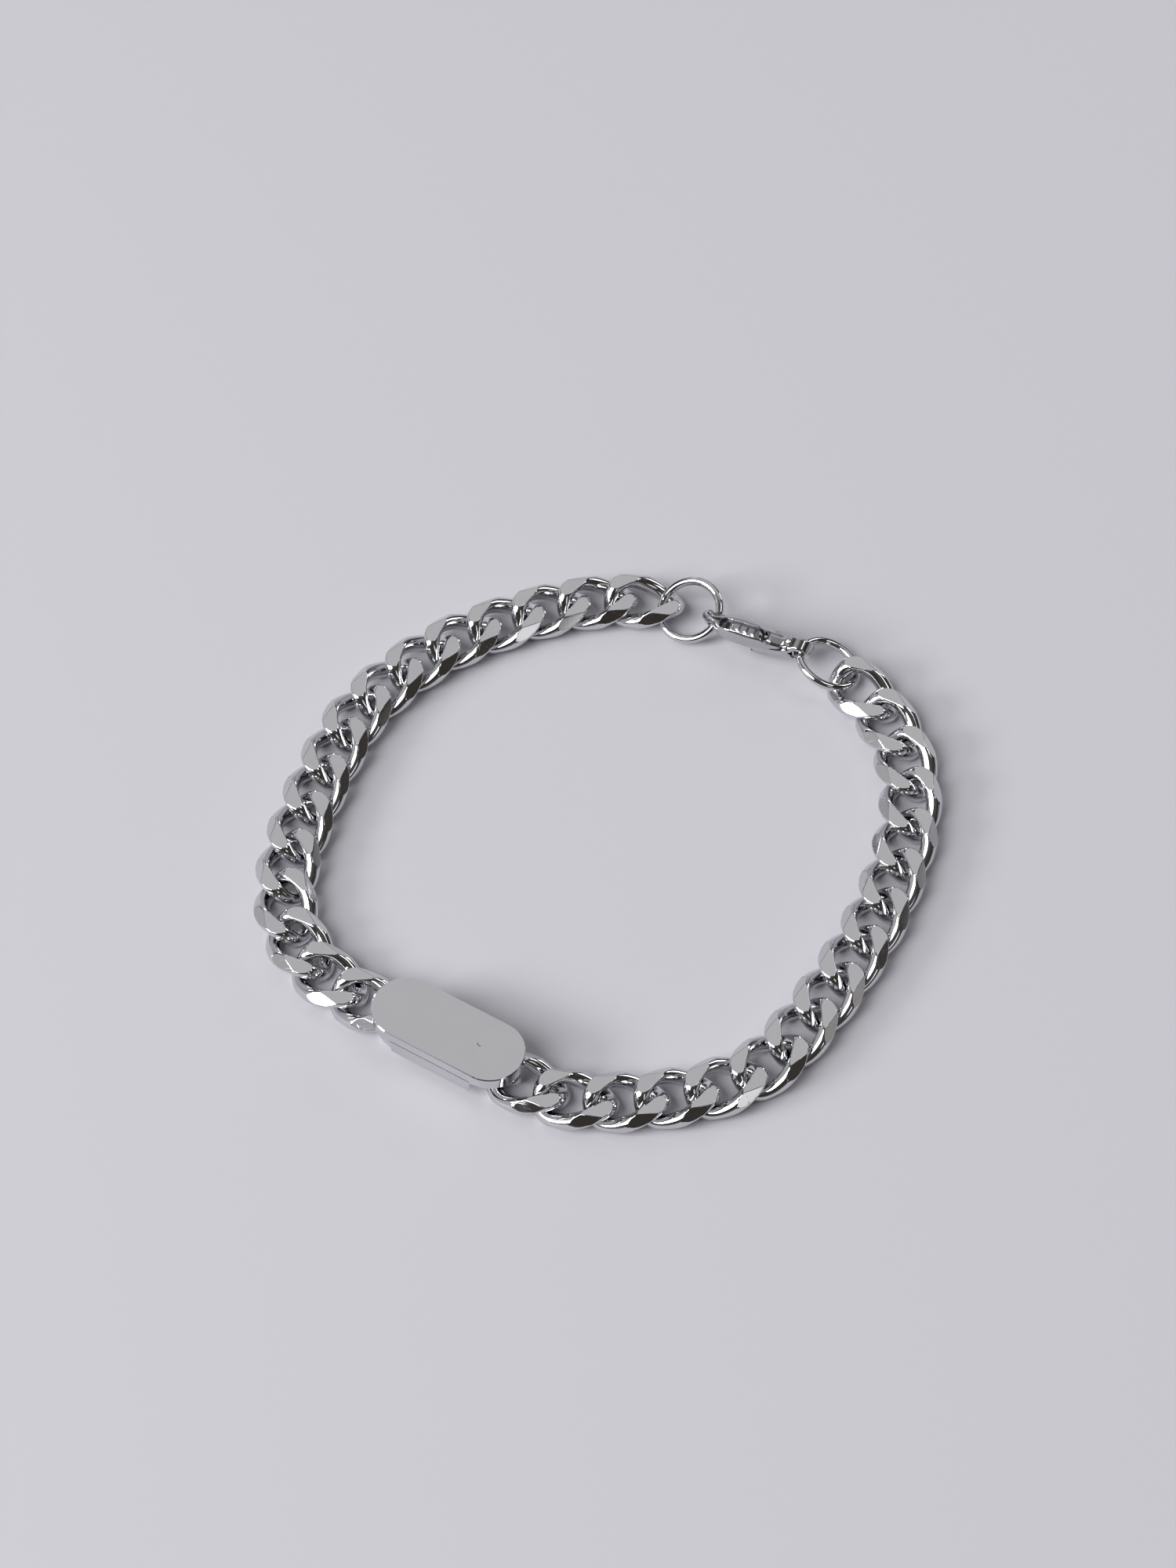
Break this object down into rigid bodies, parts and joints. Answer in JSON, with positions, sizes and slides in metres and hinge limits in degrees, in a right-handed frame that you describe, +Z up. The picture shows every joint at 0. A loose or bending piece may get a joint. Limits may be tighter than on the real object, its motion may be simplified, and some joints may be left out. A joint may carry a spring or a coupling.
{
  "type": "id bracelet",
  "caption": "Closed curb-link bracelet in polished steel with a plain round-ended name plate, two jump rings and a lobster clasp with a sprung lever, lying flat.",
  "frame": {"origin": "middle of the closed loop's bounding box, on the table it lies on", "axes": "+Z up from the table through the wrist hollow, +Y towards the clasp's side, +X towards the right run of links, with the name plate at the lower left (-X, -Y)"},
  "size_m": [0.0744, 0.072, 0.0056],
  "materials": {
    "link_steel": "polished stainless steel with fine wear scratches",
    "plate_steel": "mirror-polished flat face",
    "ring_steel": "bright drawn wire",
    "clasp_steel": "polished cast steel",
    "lever_steel": "polished steel",
    "rivet_steel": "flush steel pin"
  },
  "bodies": {
    "bracelet": {"link_left_01": "link_steel", "link_left_02": "link_steel", "link_left_03": "link_steel", "link_left_04": "link_steel", "link_left_05": "link_steel", "link_left_06": "link_steel", "link_left_07": "link_steel", "link_left_08": "link_steel", "link_left_09": "link_steel", "link_left_10": "link_steel", "link_left_11": "link_steel", "link_left_12": "link_steel", "link_left_13": "link_steel", "link_left_14": "link_steel", "link_left_15": "link_steel", "link_left_16": "link_steel", "link_right_01": "link_steel", "link_right_02": "link_steel", "link_right_03": "link_steel", "link_right_04": "link_steel", "link_right_05": "link_steel", "link_right_06": "link_steel", "link_right_07": "link_steel", "link_right_08": "link_steel", "link_right_09": "link_steel", "link_right_10": "link_steel", "link_right_11": "link_steel", "link_right_12": "link_steel", "link_right_13": "link_steel", "link_right_14": "link_steel", "link_right_15": "link_steel", "link_right_16": "link_steel", "id_plate": "plate_steel", "jump_ring_left": "ring_steel", "jump_ring_right": "ring_steel", "clasp_body": "clasp_steel", "clasp_rivet": "rivet_steel"},
    "lever": {"clasp_lever": "lever_steel"}
  },
  "joints": [
    {"name": "clasp_lever_hinge", "type": "hinge", "parent": "bracelet", "child": "lever", "pos_m": [0.01899, 0.02669, 0.00193], "axis": [0.4098, 0.8712, 0.2703], "range_deg": [0, 14], "stiffness_Nm_per_rad": 0.004, "springref_deg": -22.92}
  ]
}
